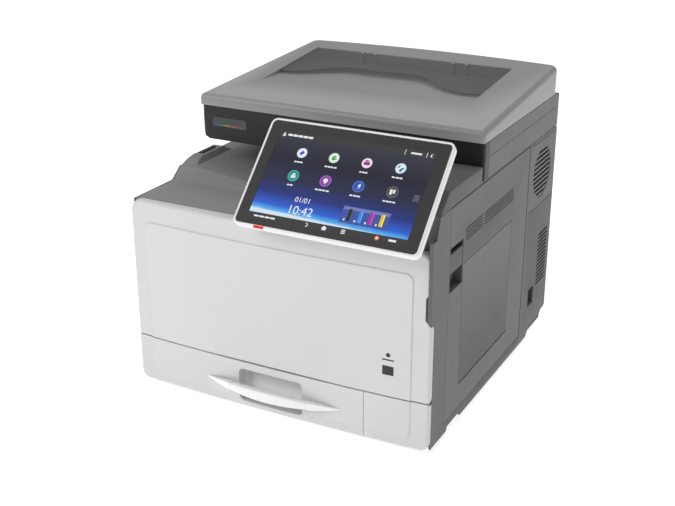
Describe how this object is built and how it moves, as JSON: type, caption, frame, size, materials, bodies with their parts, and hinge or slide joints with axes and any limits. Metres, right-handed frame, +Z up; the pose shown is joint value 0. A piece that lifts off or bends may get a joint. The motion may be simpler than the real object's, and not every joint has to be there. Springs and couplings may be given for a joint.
{
  "type": "photocopier",
  "caption": "Desktop colour copier: front door over a paper drawer, tilted touch panel, output tray under a flatbed scanner with a wedge lid, right jam door with a bypass tray.",
  "frame": {"origin": "on the table under the middle of the machine's overall box", "axes": "+X to the right seen from the front, +Y to the back, +Z up"},
  "size_m": [0.498, 0.564, 0.4672],
  "materials": {
    "white_cover": "fine-grained moulded cover",
    "grey_cover": "fine-grained moulded cover",
    "lid_grey": "satin moulded lid",
    "deck_grey": "satin moulded tray",
    "black_trim": "gloss black moulding",
    "dark_plastic": "black moulded inner part",
    "inner_grey": "inner cover plastic",
    "steel": "galvanised sheet",
    "shaft_steel": "ground steel",
    "rubber": "soft rubber",
    "glass": "clear float glass",
    "smoked": "smoked transparent plastic",
    "screen": "lit touch screen",
    "bezel": "dark glass front",
    "white_plastic": "white backing plate",
    "board_green": "circuit board",
    "drum_blue": "coated drum",
    "toner": "toner bottle plastic",
    "belt": "transfer belt"
  },
  "bodies": {
    "machine": {"base_frame": "steel", "feet": "rubber", "left_cover": "grey_cover", "rear_cover": "grey_cover", "cover_screws": "shaft_steel", "right_front_cover": "grey_cover", "right_rear_cover": "grey_cover", "right_upper_cover": "grey_cover", "upper_housing": "deck_grey", "output_tray": "deck_grey", "inner_cover": "inner_grey", "lower_right_cover": "white_cover", "fan_grille": "grey_cover", "power_inlet": "dark_plastic", "panel_arm": "dark_plastic", "scanner_tub": "grey_cover", "scanner_top_frame": "grey_cover", "scanner_front_trim": "black_trim", "platen_glass": "glass", "carriage_rod": "shaft_steel", "laser_unit": "dark_plastic", "main_board": "board_green", "power_supply": "steel", "drive_unit": "dark_plastic", "transfer_belt": "belt", "developer_units": "dark_plastic", "toner_bottles": "toner", "fuser_frame": "steel", "lid_hinges": "dark_plastic"},
    "front_door": {"front_door": "white_cover"},
    "drawer": {"drawer_front": "white_cover", "cassette_tray": "inner_grey", "handle_grip": "white_cover", "handle_ends": "white_cover"},
    "lift_plate": {"lift_plate": "steel"},
    "side_fence_front": {"side_fence_front": "dark_plastic"},
    "side_fence_rear": {"side_fence_rear": "dark_plastic"},
    "end_fence": {"end_fence": "dark_plastic"},
    "right_door": {"right_door": "grey_cover"},
    "right_door_latch": {"right_door_latch": "grey_cover"},
    "bypass_tray": {"bypass_tray": "grey_cover"},
    "bypass_extension": {"bypass_extension": "grey_cover"},
    "fan_rotor": {"fan_rotor": "dark_plastic"},
    "power_rocker": {"power_rocker": "dark_plastic"},
    "paper_stop": {"paper_stop": "black_trim"},
    "operation_panel": {"panel_frame": "white_cover", "panel_bezel": "bezel", "panel_screen": "screen"},
    "scan_carriage": {"scan_carriage": "dark_plastic"},
    "lid": {"lid_shell": "lid_grey", "lid_pad": "white_plastic"},
    "lid_flap": {"lid_flap": "smoked"},
    "drum_yellow": {"drum_yellow": "drum_blue"},
    "drum_magenta": {"drum_magenta": "drum_blue"},
    "drum_cyan": {"drum_cyan": "drum_blue"},
    "drum_black": {"drum_black": "drum_blue"},
    "fuser_roller": {"fuser_roller": "rubber"},
    "pressure_roller": {"pressure_roller": "rubber"},
    "feed_roller": {"feed_roller": "rubber"},
    "exit_roller": {"exit_roller": "rubber"}
  },
  "joints": [
    {"name": "front_door_hinge", "type": "hinge", "parent": "machine", "child": "front_door", "pos_m": [0, -0.237, 0.097], "axis": [1, 0, 0], "range_deg": [0, 90]},
    {"name": "drawer_slide", "type": "slide", "parent": "machine", "child": "drawer", "axis": [0, -1, 0], "range_m": [0, 0.33]},
    {"name": "lift_plate_hinge", "type": "hinge", "parent": "drawer", "child": "lift_plate", "pos_m": [-0.06, -0.036, 0.021], "axis": [0, -1, 0], "range_deg": [0, 12]},
    {"name": "front_fence_slide", "type": "slide", "parent": "drawer", "child": "side_fence_front", "axis": [0, 1, 0], "range_m": [0, 0.031]},
    {"name": "rear_fence_slide", "type": "slide", "parent": "drawer", "child": "side_fence_rear", "axis": [0, 1, 0], "range_m": [-0.031, 0]},
    {"name": "end_fence_slide", "type": "slide", "parent": "drawer", "child": "end_fence", "axis": [1, 0, 0], "range_m": [-0.044, 0.085]},
    {"name": "right_door_hinge", "type": "hinge", "parent": "machine", "child": "right_door", "pos_m": [0.246, 0.144, 0.1941], "axis": [0, 0, 1], "range_deg": [0, 90]},
    {"name": "right_latch_pivot", "type": "hinge", "parent": "right_door", "child": "right_door_latch", "pos_m": [0.245, -0.15495, 0.288], "axis": [0, -1, 0], "range_deg": [0, 12], "stiffness_Nm_per_rad": 0.05},
    {"name": "bypass_tray_hinge", "type": "hinge", "parent": "right_door", "child": "bypass_tray", "pos_m": [0.246, -0.027, 0.0708], "axis": [0, 1, 0], "range_deg": [0, 80]},
    {"name": "bypass_extension_slide", "type": "slide", "parent": "bypass_tray", "child": "bypass_extension", "axis": [0, 0, 1], "range_m": [0, 0.095]},
    {"name": "fan_spin", "type": "hinge", "parent": "machine", "child": "fan_rotor", "pos_m": [0.233, 0.215, 0.3], "axis": [1, 0, 0], "continuous": true},
    {"name": "power_rocker_pivot", "type": "hinge", "parent": "machine", "child": "power_rocker", "pos_m": [0.234, 0.197, 0.081], "axis": [0, -1, 0], "range_deg": [0, 12]},
    {"name": "paper_stop_hinge", "type": "hinge", "parent": "machine", "child": "paper_stop", "pos_m": [-0.243, -0.04, 0.334], "axis": [0, -1, 0], "range_deg": [0, 95]},
    {"name": "panel_tilt", "type": "hinge", "parent": "machine", "child": "operation_panel", "pos_m": [0.16, -0.22816, 0.35559], "axis": [1, 0, 0], "range_deg": [0, 20]},
    {"name": "carriage_slide", "type": "slide", "parent": "machine", "child": "scan_carriage", "axis": [1, 0, 0], "range_m": [0, 0.37]},
    {"name": "lid_hinge", "type": "hinge", "parent": "machine", "child": "lid", "pos_m": [0, 0.274, 0.426], "axis": [-1, 0, 0], "range_deg": [0, 70]},
    {"name": "lid_flap_hinge", "type": "hinge", "parent": "lid", "child": "lid_flap", "pos_m": [0.01, 0.219, 0.45955], "axis": [-1, 0, 0], "range_deg": [0, 100]},
    {"name": "black_drum_spin", "type": "hinge", "parent": "machine", "child": "drum_black", "pos_m": [0.025, -0.021, 0.165], "axis": [0, 1, 0], "continuous": true},
    {"name": "cyan_drum_spin", "type": "hinge", "parent": "machine", "child": "drum_cyan", "pos_m": [-0.04, -0.021, 0.165], "axis": [0, 1, 0], "continuous": true},
    {"name": "magenta_drum_spin", "type": "hinge", "parent": "machine", "child": "drum_magenta", "pos_m": [-0.105, -0.021, 0.165], "axis": [0, 1, 0], "continuous": true},
    {"name": "yellow_drum_spin", "type": "hinge", "parent": "machine", "child": "drum_yellow", "pos_m": [-0.17, -0.021, 0.165], "axis": [0, 1, 0], "continuous": true},
    {"name": "fuser_spin", "type": "hinge", "parent": "machine", "child": "fuser_roller", "pos_m": [0.182, -0.026, 0.262], "axis": [0, 1, 0], "continuous": true},
    {"name": "pressure_spin", "type": "hinge", "parent": "machine", "child": "pressure_roller", "pos_m": [0.2104, -0.026, 0.262], "axis": [0, 1, 0], "continuous": true},
    {"name": "feed_roller_spin", "type": "hinge", "parent": "machine", "child": "feed_roller", "pos_m": [0.12, -0.036, 0.093], "axis": [0, 1, 0], "continuous": true},
    {"name": "exit_roller_spin", "type": "hinge", "parent": "machine", "child": "exit_roller", "pos_m": [0.124, -0.036, 0.332], "axis": [0, 1, 0], "continuous": true}
  ],
  "couplings": [
    {"joint": "rear_fence_slide", "follows": "front_fence_slide", "ratio": -1},
    {"joint": "cyan_drum_spin", "follows": "black_drum_spin", "ratio": 1},
    {"joint": "magenta_drum_spin", "follows": "black_drum_spin", "ratio": 1},
    {"joint": "yellow_drum_spin", "follows": "black_drum_spin", "ratio": 1},
    {"joint": "pressure_spin", "follows": "fuser_spin", "ratio": -1}
  ]
}
